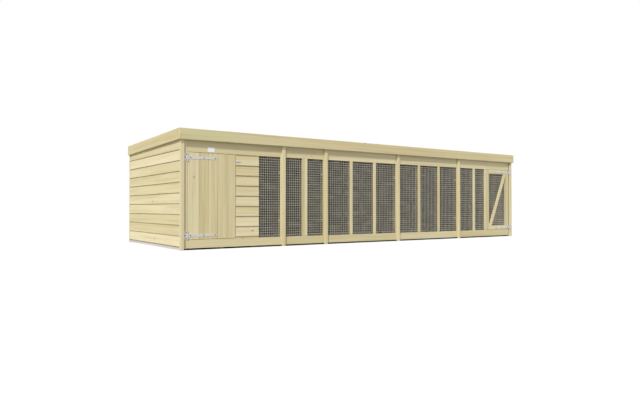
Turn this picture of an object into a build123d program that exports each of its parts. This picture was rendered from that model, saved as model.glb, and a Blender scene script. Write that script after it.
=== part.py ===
"""Timber dog kennel and run: a clad sleeping compartment and a long meshed run under one sloping roof.

Millimetres. X runs along the front, Y to the back, Z up from the ground.
The origin is on the ground, under the middle of the whole outline.
"""
import math
import os

from build123d import *

os.makedirs("parts", exist_ok=True)

# Timber sections and the small plays between pieces
timber = 38
mullion_width = 45
batten_thickness = 12
mesh_wire = 2.5
mesh_pitch = 56.8
cladding_thickness = 12
cladding_thin_edge = 3
cladding_cover = 113.9
cladding_lap = 12
strip_width = 45
strip_thickness = 20
stud_spacing = 410
rafter_spacing = 420
joint_gap = 0.2
board_gap = 0.3

# Front panels, from the kennel end to the run door end
kennel_panel_width = 1215
half_panel_width = 608
run_panel_width = 1198
door_panel_width = 1171
depth = 1820

# Heights above the ground
bearer_height = 38
rail_clearance = 16
opening_bottom = 108
opening_top = 1042
front_board_start = 127

# Roof
roof_front_height = 1288
roof_fall = 28
felt_thickness = 3
felt_lap = 80
roof_board_thickness = 11
rafter_depth = 69
fascia_depth = 120
fascia_thickness = 20
strip_clearance = 5

# Sleeping compartment
front_bay_width = 254
partition_board_thickness = 12
partition_board_width = 113
floor_board_width = 112
floor_board_thickness = 12
floor_bearer_width = 38
middle_bearer_position = 486
pop_hole_first_board = 10
pop_hole_boards = 3
pop_hole_height = 500
pop_hole_sill = 120

# Kennel door
kennel_door_width = 558
kennel_door_board_widths = (134, 102, 110, 123)
door_gap = 3
door_board_thickness = 12
ledge_height = 95
ledge_thickness = 22
ledge_inset = 27
brace_width = 80
stop_width = 18
stop_clearance = 1

# Run door
run_door_width = 534
run_door_latch_gap = 5
run_door_hinge_gap = 2
run_pin_inset = 2
run_door_member = 60
run_door_frame_thickness = 28
run_door_brace_width = 64
latch_post_width = 45
second_window_width = 214

# Tee hinges
leaf_thickness = 3
plate_width = 38
plate_height = 84
barrel_radius = 5
barrel_clearance = 0.3
hinge_pin_radius = 2.5
running_clearance = 0.06
strap_length = 336
strap_root_height = 33
strap_tip_height = 22
knuckle_play = 0.3
kennel_lower_hinge_rise = 42
kennel_upper_hinge_drop = 55
strap_screw_distances = (34, 185, 314)
plate_screw_near = 14
plate_screw_far = 27
plate_screw_rise = 30
screw_radius = 2.2
screw_hole_radius = 2.4
screw_head_radius = 6.5
screw_head_height = 1.5
screw_grip = 11

# Turn buttons
button_radius = 10
button_reach = 34
button_thickness = 2.5
button_pin_radius = 2.5
button_play = 0.2
washer_radius = 7
washer_thickness = 1.3
kennel_button_drop = 71
run_upper_button_drop = 29
run_lower_button_rise = 49
lower_button_slant = 25

# Panel bolts
bolt_radius = 4
bolt_hole_radius = 4.2
bolt_head_radius = 9
bolt_head_height = 5
bolt_heights = (300, 860)
bolt_setback = 26

# Blank plate on the top rail
label_width = 76
label_height = 50
label_thickness = 1.5
label_position = 317
label_rise = 11

# Positions that follow from the sizes above
panel_widths = (kennel_panel_width, half_panel_width, run_panel_width, run_panel_width, door_panel_width)
end_wall = timber + cladding_thickness
length = 2 * end_wall + sum(panel_widths)
left = -length / 2
right = length / 2
front_overhang = strip_thickness + strip_clearance
roof_span = front_overhang + fascia_thickness + depth + fascia_thickness
roof_front = -roof_span / 2
roof_back = roof_span / 2
front = roof_front + fascia_thickness + front_overhang
back = front + depth
frame_front = front + batten_thickness + mesh_wire
frame_back = frame_front + timber
back_frame_back = back - cladding_thickness
back_frame_front = back_frame_back - timber
panel_edges = [left + end_wall]
for width in panel_widths:
    panel_edges.append(panel_edges[-1] + width)
joint_lines = panel_edges[1:-1]


def roof_line(y, drop):
    """Height of the plane that lies a given drop under the top of the roof, at y."""
    return roof_front_height - roof_fall * (y - roof_front) / (roof_back - roof_front) - drop


wall_drop = felt_thickness + roof_board_thickness + rafter_depth
front_wall_top = roof_line(frame_back, wall_drop)
back_wall_top = roof_line(back, wall_drop)

# Kennel panel, along the front
kennel_stile = panel_edges[0] + timber
kennel_door_left = kennel_stile + door_gap
kennel_door_right = kennel_door_left + kennel_door_width
kennel_post = kennel_door_right + door_gap
partition_left = kennel_post + front_bay_width
partition_right = partition_left + timber
first_window_right = panel_edges[1] - timber
door_bottom = opening_bottom + door_gap
door_top = opening_top - door_gap
kennel_hinge_heights = (door_bottom + kennel_lower_hinge_rise, door_top - kennel_upper_hinge_drop)
kennel_button_height = door_top - kennel_button_drop
run_button_heights = (door_bottom + run_lower_button_rise, door_top - run_upper_button_drop)

# Door panel, along the front
run_door_right = panel_edges[5] - run_door_hinge_gap
run_door_left = run_door_right - run_door_width
latch_post_right = run_door_left - run_door_latch_gap
latch_post_left = latch_post_right - latch_post_width
second_window_left = latch_post_left - second_window_width


def front_plane(y):
    """An upright sketch plane across the front at y, seen from the front: X to the right, Z up."""
    return Plane.XZ.offset(-y)


def patch(low, high, bottom, top, mode=Mode.ADD):
    """A rectangle given by its edges."""
    with Locations(((low + high) / 2, (bottom + top) / 2)):
        Rectangle(high - low, top - bottom, mode=mode)


def outline(*points):
    """A straight-sided closed face through the points."""
    Polygon(*points, align=None)


def store(part, name):
    """Name a finished piece and write it."""
    part.label = name
    export_step(part, f"parts/{name}.step")


def sloping_strip(start, end, drop, height):
    """A face in the YZ plane with its top edge a given drop under the roof surface."""
    outline(
        (start, roof_line(start, drop + height)),
        (end, roof_line(end, drop + height)),
        (end, roof_line(end, drop)),
        (start, roof_line(start, drop)),
    )


def weatherboards(butt, thickness, first_row, last_height, outward):
    """Sections of overlapping boards: thick lower edges, thin tops, each rebated over the one below."""
    height = cladding_cover + cladding_lap
    taper = (thickness - cladding_thin_edge) / height
    rebate = thickness - taper * cladding_cover + board_gap
    rows = math.ceil((last_height - cladding_lap - first_row) / cladding_cover)
    for row in range(rows):
        base = first_row + row * cladding_cover + board_gap
        outline(
            (butt + outward * rebate, base),
            (butt + outward * thickness, base),
            (butt + outward * cladding_thin_edge, base + height - board_gap),
            (butt, base + height - board_gap),
            (butt, base + cladding_lap),
            (butt + outward * rebate, base + cladding_lap),
        )


# Ground bearers: sleepers under the end walls, the back wall and the partition, and three floor joists
floor_left = left + end_wall
floor_right = partition_left - partition_board_thickness
with BuildPart() as ground_bearers:
    with BuildSketch(Plane.XY):
        patch(left + cladding_thickness, left + end_wall, front, back)
        patch(right - end_wall, right - cladding_thickness, front, back)
        inner_back = back_frame_front - joint_gap
        patch(partition_left, partition_right, frame_back, inner_back)
        for low, high in zip(panel_edges, panel_edges[1:]):
            patch(low + timber + joint_gap, high - timber - joint_gap, back_frame_front, back_frame_back)
        joist_starts = (
            floor_left + joint_gap,
            left + middle_bearer_position,
            partition_left - floor_bearer_width - joint_gap,
        )
        for start in joist_starts:
            patch(start, start + floor_bearer_width, frame_back, inner_back)
    extrude(amount=bearer_height)
store(ground_bearers.part, "ground_bearers")

with BuildPart() as sleeping_floor:
    with BuildSketch(Plane.XY.offset(bearer_height)):
        floor_depth = back_frame_front - frame_back
        board_count = math.ceil(floor_depth / floor_board_width)
        for index in range(board_count):
            near = frame_back + index * floor_board_width
            far = min(near + floor_board_width - board_gap, back_frame_front)
            patch(floor_left, floor_right, near, far)
    extrude(amount=floor_board_thickness)
store(sleeping_floor.part, "sleeping_floor")


# End walls: a framed panel each, with its sloping top rail, clad on the outside
def end_wall_frame(start):
    """The timbers of an end wall, drawn in the YZ plane and given one thickness."""
    bays = math.ceil(depth / stud_spacing)
    bay = (depth - timber) / bays
    with BuildPart() as frame:
        with BuildSketch(Plane.YZ.offset(start)):
            patch(front, back, bearer_height, bearer_height + timber)
            sloping_strip(front, back, wall_drop, timber)
            for index in range(bays + 1):
                near = front + index * bay
                far = near + timber
                foot = bearer_height + timber + joint_gap
                outline(
                    (near, foot),
                    (far, foot),
                    (far, roof_line(far, wall_drop + timber) - joint_gap),
                    (near, roof_line(near, wall_drop + timber) - joint_gap),
                )
        extrude(amount=timber)
    return frame.part


store(end_wall_frame(left + cladding_thickness), "left_wall_frame")
store(end_wall_frame(right - end_wall), "right_wall_frame")


def side_cladding(butt, outward):
    """The boards of an end wall, one section carried from front to back."""
    with BuildPart() as cladding:
        with BuildSketch(front_plane(front)):
            weatherboards(butt, cladding_thickness, bearer_height, back_wall_top, outward)
            patch(left - end_wall, right + end_wall, bearer_height, back_wall_top, mode=Mode.INTERSECT)
        extrude(amount=-depth)
    return cladding.part


store(side_cladding(left + cladding_thickness, -1), "left_wall_cladding")
store(side_cladding(right - cladding_thickness, 1), "right_wall_cladding")


# Back wall: a framed panel behind each front panel, then the boards of the whole wall
def bolt_holes(panel, setback_line):
    """Bolt holes through the stiles of a panel that meet a neighbour's."""
    for line in joint_lines:
        if panel_edges[panel] <= line <= panel_edges[panel + 1]:
            for height in bolt_heights:
                with Locations(Location((line, setback_line, height), (0, 90, 0))):
                    Cylinder(bolt_hole_radius, 2 * timber + 2 * joint_gap, mode=Mode.SUBTRACT)


def back_panel_frame(panel):
    """Stiles to the ground, rails between them and evenly spaced studs."""
    low = panel_edges[panel]
    high = panel_edges[panel + 1]
    bays = math.ceil((high - low) / stud_spacing)
    bay = (high - low - timber) / bays
    with BuildPart() as frame:
        with BuildSketch(front_plane(back_frame_front)):
            patch(low, low + timber, 0, back_wall_top)
            patch(high - timber, high, 0, back_wall_top)
            inner_low = low + timber + joint_gap
            inner_high = high - timber - joint_gap
            patch(inner_low, inner_high, bearer_height, bearer_height + timber)
            patch(inner_low, inner_high, back_wall_top - timber, back_wall_top)
            foot = bearer_height + timber + joint_gap
            head = back_wall_top - timber - joint_gap
            for index in range(1, bays):
                patch(low + index * bay, low + index * bay + timber, foot, head)
        extrude(amount=-timber)
        bolt_holes(panel, back_frame_front + timber / 2)
    return frame.part


for panel in range(5):
    store(back_panel_frame(panel), f"back_frame_{panel + 1}")

with BuildPart() as back_cladding:
    for panel in range(5):
        low = panel_edges[panel]
        high = panel_edges[panel + 1]
        with BuildSketch(Plane.YZ.offset(low)):
            weatherboards(back_frame_back, cladding_thickness, bearer_height, back_wall_top, 1)
            patch(front, back + end_wall, bearer_height, back_wall_top, mode=Mode.INTERSECT)
        extrude(amount=high - low - board_gap)
store(back_cladding.part, "back_cladding")

# Partition between the sleeping compartment and the run, with its pop hole
pop_hole_front = frame_back + pop_hole_first_board * partition_board_width
pop_hole_back = pop_hole_front + pop_hole_boards * partition_board_width - board_gap
pop_hole_top = pop_hole_sill + pop_hole_height
with BuildPart() as partition_frame:
    with BuildSketch(Plane.YZ.offset(partition_left)):
        middle_stud = (frame_back + pop_hole_front - timber) / 2
        stud_spans = (
            (frame_back, frame_back + timber),
            (middle_stud, middle_stud + timber),
            (pop_hole_front - timber, pop_hole_front),
            (pop_hole_back, pop_hole_back + timber),
            (back_frame_front - timber, back_frame_front),
        )
        foot = bearer_height + timber + joint_gap
        for near, far in stud_spans:
            outline(
                (near, foot),
                (far, foot),
                (far, roof_line(far, wall_drop + timber) - joint_gap),
                (near, roof_line(near, wall_drop + timber) - joint_gap),
            )
        patch(frame_back, back_frame_front, bearer_height, bearer_height + timber)
        sloping_strip(frame_back, back_frame_front, wall_drop, timber)
        hole_near = pop_hole_front + joint_gap
        hole_far = pop_hole_back - joint_gap
        patch(hole_near, hole_far, pop_hole_sill - timber, pop_hole_sill)
        patch(hole_near, hole_far, pop_hole_top, pop_hole_top + timber)
    extrude(amount=timber)
store(partition_frame.part, "partition_frame")

with BuildPart() as partition_boards:
    with BuildSketch(Plane.YZ.offset(floor_right)):
        board_count = math.ceil((back_frame_front - frame_back) / partition_board_width)
        for index in range(board_count):
            near = frame_back + index * partition_board_width
            far = min(near + partition_board_width - board_gap, back_frame_front)
            outline(
                (near, bearer_height),
                (far, bearer_height),
                (far, roof_line(far, wall_drop)),
                (near, roof_line(near, wall_drop)),
            )
        patch(pop_hole_front, pop_hole_back, pop_hole_sill, pop_hole_top, mode=Mode.SUBTRACT)
    extrude(amount=partition_board_thickness)
store(partition_boards.part, "partition_boards")

# Windows of each front panel, as pairs of left and right edges
kennel_windows = [(partition_right, first_window_right)]
half_window = (half_panel_width - 4 * timber) / 2
half_windows = [
    (panel_edges[1] + timber, panel_edges[1] + timber + half_window),
    (panel_edges[2] - timber - half_window, panel_edges[2] - timber),
]
run_window = (run_panel_width - 2 * timber - 2 * mullion_width) / 3


def three_windows(start):
    """Three equal windows between the stiles and mullions of a run panel."""
    step = run_window + mullion_width
    return [(start + timber + index * step, start + timber + index * step + run_window) for index in range(3)]


door_windows = [
    (panel_edges[4] + timber, second_window_left - mullion_width),
    (second_window_left, latch_post_left),
]
windows = [
    kennel_windows,
    half_windows,
    three_windows(panel_edges[2]),
    three_windows(panel_edges[3]),
    door_windows,
]

# Uprights of each front panel that stand between its rails
half_middle = (half_windows[0][1] + half_windows[1][0]) / 2
mullions = [
    [(kennel_post, kennel_post + timber), (partition_left, partition_right)],
    [(half_windows[0][1], half_middle - joint_gap / 2), (half_middle + joint_gap / 2, half_windows[1][0])],
    [(windows[2][index][1], windows[2][index + 1][0]) for index in range(2)],
    [(windows[3][index][1], windows[3][index + 1][0]) for index in range(2)],
    [(door_windows[0][1], door_windows[1][0]), (latch_post_left, latch_post_right)],
]


def front_panel_frame(panel):
    """Stiles to the ground, a deep bottom rail, a head rail, a wall plate and the mullions."""
    low = panel_edges[panel]
    high = panel_edges[panel + 1]
    last_panel = panel == 4
    inner_low = low + timber + joint_gap
    inner_high = high if last_panel else high - timber - joint_gap
    with BuildPart() as frame:
        with BuildSketch(front_plane(frame_front)):
            patch(low, low + timber, 0, front_wall_top)
            if not last_panel:
                patch(high - timber, high, 0, front_wall_top)
            patch(inner_low, inner_high, rail_clearance, opening_bottom)
            patch(inner_low, inner_high, opening_top, opening_top + timber)
            patch(inner_low, inner_high, front_wall_top - timber, front_wall_top)
            for near, far in mullions[panel]:
                patch(near, far, opening_bottom + joint_gap, opening_top - joint_gap)
        extrude(amount=-timber)
        bolt_holes(panel, front + bolt_setback)
    return frame.part


for panel in range(5):
    store(front_panel_frame(panel), f"front_frame_{panel + 1}")

# Tee hinge positions: the pin stands in front of the face that its plate lies on
kennel_pin_x = kennel_stile + door_gap / 2
kennel_pin_y = front - barrel_radius - barrel_clearance
run_pin_x = right - strip_width - run_pin_inset
run_plate_face = front - strip_thickness
run_pin_y = run_plate_face - barrel_radius - barrel_clearance
run_hinge_heights = (door_bottom + run_door_member / 2, door_top - run_door_member / 2)


def plate_screws(pin_x, side, heights):
    """Screw positions of the hinge plates, on the side of the pin away from the strap."""
    points = []
    for height in heights:
        for rise in (-plate_screw_rise, plate_screw_rise):
            points.append((pin_x - side * plate_screw_near, height + rise))
        points.append((pin_x - side * plate_screw_far, height))
    return points


def strap_screws(pin_x, side, heights):
    """Screw positions along the hinge straps."""
    return [(pin_x + side * distance, height) for height in heights for distance in strap_screw_distances]


kennel_plate_points = plate_screws(kennel_pin_x, 1, kennel_hinge_heights)
kennel_strap_points = strap_screws(kennel_pin_x, 1, kennel_hinge_heights)
run_plate_points = plate_screws(run_pin_x, -1, run_hinge_heights)
run_strap_points = strap_screws(run_pin_x, -1, run_hinge_heights)


def rods(points, face, reach, radius, mode=Mode.ADD):
    """Round rods from a face of the front at y, a given reach towards the back."""
    with Locations(*[Location((x, face, z), (-90, 0, 0)) for x, z in points]):
        Cylinder(radius, reach, align=(Align.CENTER, Align.CENTER, Align.MIN), mode=mode)


def pierce(points, face, reach, radius):
    """Round holes from a face of the front at y, a given reach deep towards the back."""
    rods(points, face, reach, radius, mode=Mode.SUBTRACT)


# Facing battens: flush boards over the edges of the mesh
def front_panel_battens(panel):
    """The boards nailed over one front panel's timbers, with thin packing where no mesh lies behind them."""
    low = panel_edges[panel]
    high = panel_edges[panel + 1]
    last_panel = panel == 4
    inner_low = low + timber + joint_gap
    inner_high = high if last_panel else high - timber - joint_gap
    with BuildPart() as battens:
        with BuildSketch(front_plane(front)):
            patch(low, low + timber, rail_clearance, front_wall_top)
            if not last_panel:
                patch(high - timber, high, rail_clearance, front_wall_top)
            patch(inner_low, inner_high, rail_clearance, opening_bottom)
            patch(inner_low, inner_high, opening_top, front_wall_top)
            if panel > 0:
                for near, far in mullions[panel]:
                    patch(near, far, opening_bottom + joint_gap, opening_top - joint_gap)
        extrude(amount=-batten_thickness)
        if panel == 0:
            with BuildSketch(front_plane(front + batten_thickness + joint_gap)):
                patch(low, low + timber, rail_clearance, front_wall_top)
                patch(inner_low, partition_right, rail_clearance, opening_bottom)
                patch(inner_low, partition_right, opening_top, front_wall_top)
            extrude(amount=-(mesh_wire - joint_gap))
            pierce(kennel_plate_points, front, screw_grip, screw_hole_radius)
        if last_panel:
            button_points = [((latch_post_left + latch_post_right) / 2, height) for height in run_button_heights]
            pierce(button_points, front, screw_grip, button_pin_radius)
    return battens.part


for panel in range(5):
    store(front_panel_battens(panel), f"front_battens_{panel + 1}")


def holed_sheet(low, high, bottom, top, openings):
    """A mesh sheet with its gaps inside the openings only, each gap one cell less a wire."""
    with BuildPart() as sheet:
        with BuildSketch(front_plane(front + batten_thickness)):
            patch(low, high, bottom, top)
            for near, far, base, head in openings:
                columns = round((far - near) / mesh_pitch)
                rows = round((head - base) / mesh_pitch)
                across = (far - near - mesh_wire) / columns
                upward = (head - base - mesh_wire) / rows
                with Locations(((near + far) / 2, (base + head) / 2)):
                    with GridLocations(across, upward, columns, rows):
                        Rectangle(across - mesh_wire, upward - mesh_wire, mode=Mode.SUBTRACT)
        extrude(amount=-mesh_wire)
    return sheet.part


# Mesh sheets between the battens and the frames
for panel in range(5):
    low = panel_edges[panel] if panel > 0 else partition_right + joint_gap
    high = panel_edges[panel + 1] if panel < 4 else latch_post_right
    openings = [(near, far, opening_bottom, opening_top) for near, far in windows[panel]]
    sheet = holed_sheet(low, high, opening_bottom - timber, opening_top + timber, openings)
    store(sheet, f"mesh_sheet_{panel + 1}")

# Short weatherboards from the kennel door to the first window, over both posts
front_cladding_thickness = batten_thickness + mesh_wire
kennel_button_x = kennel_door_right + door_gap + button_radius
with BuildPart() as front_cladding:
    with BuildSketch(Plane.YZ.offset(kennel_post)):
        first_row = front_board_start - cladding_cover
        weatherboards(frame_front, front_cladding_thickness, first_row, opening_top, -1)
        patch(front - timber, back, opening_bottom + joint_gap, opening_top - joint_gap, mode=Mode.INTERSECT)
    extrude(amount=front_bay_width + timber)
    pierce([(kennel_button_x, kennel_button_height)], front, screw_grip, button_pin_radius)
store(front_cladding.part, "front_cladding")

# Cover strips over the panel joints and the corners, standing on the ground
strip_starts = [left] + [line - strip_width / 2 for line in joint_lines] + [right - strip_width]
back_strip_top = roof_line(roof_back, fascia_depth)
with BuildPart() as front_cover_strips:
    with BuildSketch(front_plane(front)):
        for start in strip_starts:
            patch(start, start + strip_width, 0, front_wall_top)
    extrude(amount=strip_thickness)
    pierce(run_plate_points, run_plate_face, screw_grip, screw_hole_radius)
store(front_cover_strips.part, "front_cover_strips")

with BuildPart() as back_cover_strips:
    with BuildSketch(front_plane(back)):
        for start in strip_starts:
            patch(start, start + strip_width, 0, back_strip_top)
    extrude(amount=-strip_thickness)
store(back_cover_strips.part, "back_cover_strips")

# Roof: rafters from front to back, boards over them, then felt in two lapped lengths
main_rafters = [left + cladding_thickness, kennel_post, partition_left]
main_rafters += [line - timber / 2 for line in joint_lines]
main_rafters.append(right - end_wall)
rafter_starts = []
for near, far in zip(main_rafters, main_rafters[1:]):
    bays = math.ceil((far - near) / rafter_spacing)
    rafter_starts += [near + index * (far - near) / bays for index in range(bays)]
rafter_starts.append(main_rafters[-1])
with BuildPart() as rafters:
    for start in rafter_starts:
        with BuildSketch(Plane.YZ.offset(start)):
            sloping_strip(front - front_overhang, back, felt_thickness + roof_board_thickness, rafter_depth)
        extrude(amount=timber)
store(rafters.part, "rafters")

roof_board_edges = [left] + joint_lines + [right]
with BuildPart() as roof_boards:
    for near, far in zip(roof_board_edges, roof_board_edges[1:]):
        with BuildSketch(Plane.YZ.offset(near)):
            sloping_strip(front - front_overhang, back, felt_thickness, roof_board_thickness)
        extrude(amount=far - near - joint_gap)
store(roof_boards.part, "roof_boards")

with BuildPart() as roof_felt:
    with BuildSketch(Plane.YZ.offset(left)):
        felt_front = front - front_overhang
        felt_middle = (felt_front + back) / 2
        lap_end = felt_middle + felt_lap
        sloping_strip(felt_middle, back, 0, felt_thickness)
        outline(
            (felt_front, roof_line(felt_front, felt_thickness)),
            (felt_middle - joint_gap, roof_line(felt_middle - joint_gap, felt_thickness)),
            (felt_middle - joint_gap, roof_line(felt_middle - joint_gap, -joint_gap)),
            (lap_end, roof_line(lap_end, -joint_gap)),
            (lap_end, roof_line(lap_end, -joint_gap - felt_thickness)),
            (felt_middle - felt_thickness, roof_line(felt_middle, -joint_gap - felt_thickness)),
            (felt_middle - 3 * felt_thickness, roof_line(felt_middle, 0)),
            (felt_front, roof_line(felt_front, 0)),
        )
    extrude(amount=length)
store(roof_felt.part, "roof_felt")

# Fascia boards round the edge of the roof
with BuildPart() as fascia_front:
    with BuildSketch(front_plane(roof_front)):
        patch(left - fascia_thickness, right + fascia_thickness, roof_front_height - fascia_depth, roof_front_height)
    extrude(amount=-fascia_thickness)
store(fascia_front.part, "fascia_front")

back_fascia_top = roof_front_height - roof_fall
with BuildPart() as fascia_back:
    with BuildSketch(front_plane(back)):
        patch(left - fascia_thickness, right + fascia_thickness, back_fascia_top - fascia_depth, back_fascia_top)
    extrude(amount=-fascia_thickness)
store(fascia_back.part, "fascia_back")


def side_fascia(start):
    """An end fascia, sloping with the roof between the front and back fascias."""
    with BuildPart() as board:
        with BuildSketch(Plane.YZ.offset(start)):
            sloping_strip(front - front_overhang, back, 0, fascia_depth)
        extrude(amount=fascia_thickness)
    return board.part


store(side_fascia(left - fascia_thickness), "fascia_left")
store(side_fascia(right), "fascia_right")

# Blank plate on the top rail
with BuildPart() as blank_plate:
    with BuildSketch(front_plane(front)):
        patch(
            left + label_position,
            left + label_position + label_width,
            opening_top + label_rise,
            opening_top + label_rise + label_height,
        )
    extrude(amount=label_thickness)
store(blank_plate.part, "blank_plate")

# Stops that the two doors close against
kennel_stop_front = front + door_board_thickness + stop_clearance
run_stop_front = frame_front + run_door_frame_thickness + stop_clearance
with BuildPart() as door_stops:
    with BuildSketch(front_plane(kennel_stop_front)):
        patch(kennel_stile, kennel_stile + stop_width, opening_bottom + joint_gap, opening_top - joint_gap)
        patch(kennel_post - stop_width, kennel_post, opening_bottom + joint_gap, opening_top - joint_gap)
    extrude(amount=-ledge_thickness)
    with BuildSketch(front_plane(run_stop_front)):
        stop_right = latch_post_right + stop_width
        patch(latch_post_right, stop_right, opening_bottom + joint_gap, opening_top - joint_gap)
        stop_bottom = opening_top - stop_width
        patch(stop_right + joint_gap, panel_edges[5] - timber, stop_bottom, opening_top)
    extrude(amount=-(frame_back - run_stop_front))
store(door_stops.part, "door_stops")

# Bolts that draw neighbouring panels together
with BuildPart() as panel_bolts:
    for line in joint_lines:
        for bolt_y in (front + bolt_setback, back_frame_front + timber / 2):
            for height in bolt_heights:
                with Locations(Location((line, bolt_y, height), (0, 90, 0))):
                    Cylinder(bolt_radius, 2 * timber + 2 * bolt_head_height)
                for side in (-1, 1):
                    head_x = line + side * (timber + bolt_head_height / 2)
                    with Locations(Location((head_x, bolt_y, height), (0, 90, 0))):
                        Cylinder(bolt_head_radius, bolt_head_height)
store(panel_bolts.part, "panel_bolts")

# Tee hinges
knuckle_half = strap_root_height / 2


def barrel(pin_x, pin_y, bottom, top, bore):
    """A rolled knuckle between two heights, bored through for the pin."""
    upright = (Align.CENTER, Align.CENTER, Align.MIN)
    with Locations((pin_x, pin_y, bottom)):
        Cylinder(barrel_radius, top - bottom, align=upright)
        Cylinder(bore, top - bottom, align=upright, mode=Mode.SUBTRACT)


def hinge_plates(pin_x, pin_y, face, side, heights, screws):
    """Fixed plates, each with a knuckle above and below the strap's."""
    with BuildPart() as plates:
        for height in heights:
            low_end = height - plate_height / 2
            high_end = height + plate_height / 2
            with BuildSketch(front_plane(face)):
                outer = pin_x - side * plate_width
                inner = pin_x - side * (barrel_radius + knuckle_play)
                patch(min(outer, inner), max(outer, inner), low_end, high_end)
                for tab_low, tab_high in (
                    (low_end, height - knuckle_half - knuckle_play),
                    (height + knuckle_half + knuckle_play, high_end),
                ):
                    patch(min(inner, pin_x), max(inner, pin_x), tab_low, tab_high)
            extrude(amount=leaf_thickness)
            for tab_low, tab_high in (
                (low_end, height - knuckle_half - knuckle_play),
                (height + knuckle_half + knuckle_play, high_end),
            ):
                barrel(pin_x, pin_y, tab_low, tab_high, hinge_pin_radius)
        pierce(screws, face - leaf_thickness, leaf_thickness, screw_hole_radius)
    return plates.part


kennel_plates = hinge_plates(
    kennel_pin_x, kennel_pin_y, front, 1, kennel_hinge_heights, kennel_plate_points
)
store(kennel_plates, "kennel_hinge_plates")
run_plates = hinge_plates(run_pin_x, run_pin_y, run_plate_face, -1, run_hinge_heights, run_plate_points)
store(run_plates, "run_hinge_plates")


def strap_outline(pin_x, side, height, start):
    """A strap seen from the front, tapering to a rounded tip."""
    tip = pin_x + side * strap_length
    tip_radius = strap_tip_height / 2
    round_start = tip - side * tip_radius
    outline(
        (start, height - knuckle_half),
        (start, height + knuckle_half),
        (round_start, height + tip_radius),
        (round_start, height - tip_radius),
    )
    with Locations((round_start, height)):
        Circle(tip_radius)


def hinge_straps(pin_x, pin_y, crank, side, heights, screws):
    """Moving straps on the door, each with the middle knuckle; a crank steps back from a proud plate."""
    with BuildPart() as straps:
        for height in heights:
            leg_inner = pin_x + side * barrel_radius
            leg_outer = leg_inner + side * leaf_thickness
            start = leg_inner if crank > 0 else pin_x
            with BuildSketch(front_plane(front)):
                strap_outline(pin_x, side, height, start)
            extrude(amount=leaf_thickness)
            if crank > 0:
                bottom = height - knuckle_half
                with BuildSketch(Plane.XY.offset(bottom)):
                    near = front - crank
                    patch(min(leg_inner, leg_outer), max(leg_inner, leg_outer), near - leaf_thickness, front)
                    patch(min(pin_x, leg_outer), max(pin_x, leg_outer), near - leaf_thickness, near)
                extrude(amount=strap_root_height)
            bore = hinge_pin_radius + running_clearance
            barrel(pin_x, pin_y, height - knuckle_half, height + knuckle_half, bore)
        pierce(screws, front - leaf_thickness, leaf_thickness, screw_hole_radius)
    return straps.part


kennel_straps = hinge_straps(kennel_pin_x, kennel_pin_y, 0, 1, kennel_hinge_heights, kennel_strap_points)
store(kennel_straps, "kennel_door_straps")
run_straps = hinge_straps(run_pin_x, run_pin_y, strip_thickness, -1, run_hinge_heights, run_strap_points)
store(run_straps, "run_door_straps")

with BuildPart() as hinge_pins:
    for pin_x, pin_y, heights in (
        (kennel_pin_x, kennel_pin_y, kennel_hinge_heights),
        (run_pin_x, run_pin_y, run_hinge_heights),
    ):
        for height in heights:
            with BuildSketch(Plane.XY.offset(height - plate_height / 2)):
                with Locations((pin_x, pin_y)):
                    Circle(hinge_pin_radius)
            extrude(amount=plate_height)
store(hinge_pins.part, "hinge_pins")


def add_screws(points, face):
    """Round-headed screws through a hinge leaf that lies on a face at y."""
    rods(points, face - leaf_thickness, leaf_thickness + screw_grip, screw_radius)
    rods(points, face - leaf_thickness - screw_head_height, screw_head_height, screw_head_radius)


with BuildPart() as plate_screw_set:
    add_screws(kennel_plate_points, front)
    add_screws(run_plate_points, run_plate_face)
store(plate_screw_set.part, "plate_screws")

with BuildPart() as kennel_door_screws:
    add_screws(kennel_strap_points, front)
store(kennel_door_screws.part, "kennel_door_screws")

with BuildPart() as run_door_screws:
    add_screws(run_strap_points, front)
store(run_door_screws.part, "run_door_screws")

# Kennel door: upright boards on three ledges with two braces
with BuildPart() as kennel_door_boards:
    with BuildSketch(front_plane(front)):
        near = kennel_door_left
        last_board = kennel_door_width - sum(kennel_door_board_widths)
        for width in kennel_door_board_widths + (last_board,):
            patch(near, near + width - board_gap, door_bottom, door_top)
            near += width
    extrude(amount=-door_board_thickness)
    pierce(kennel_strap_points, front, screw_grip, screw_hole_radius)
store(kennel_door_boards.part, "kennel_door_boards")

ledge_left = kennel_door_left + ledge_inset
ledge_right = kennel_door_right - ledge_inset
middle_ledge = (kennel_hinge_heights[0] + kennel_hinge_heights[1]) / 2
ledge_half = ledge_height / 2
ledge_heights = (
    max(kennel_hinge_heights[0], door_bottom + ledge_half),
    middle_ledge,
    min(kennel_hinge_heights[1], door_top - ledge_half),
)
with BuildPart() as kennel_door_ledges:
    with BuildSketch(front_plane(front + door_board_thickness)):
        for height in ledge_heights:
            patch(ledge_left, ledge_right, height - ledge_half, height + ledge_half)
        for lower, upper in zip(ledge_heights, ledge_heights[1:]):
            foot = lower + ledge_half + joint_gap
            head = upper - ledge_half - joint_gap
            outline(
                (ledge_left, foot),
                (ledge_left + brace_width, foot),
                (ledge_right, head),
                (ledge_right - brace_width, head),
            )
    extrude(amount=-ledge_thickness)
store(kennel_door_ledges.part, "kennel_door_ledges")

# Run door: a braced frame of flat boards, mesh behind them and a second frame behind the mesh
door_inner_left = run_door_left + run_door_member
door_inner_right = run_door_right - run_door_member
door_inner_bottom = door_bottom + run_door_member
door_inner_top = door_top - run_door_member


def door_frame_outline():
    """Two stiles and two rails of the run door, as one ring of four boards."""
    patch(run_door_left, door_inner_left, door_bottom, door_top)
    patch(door_inner_right, run_door_right, door_bottom, door_top)
    patch(door_inner_left + joint_gap, door_inner_right - joint_gap, door_bottom, door_inner_bottom)
    patch(door_inner_left + joint_gap, door_inner_right - joint_gap, door_inner_top, door_top)


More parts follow.
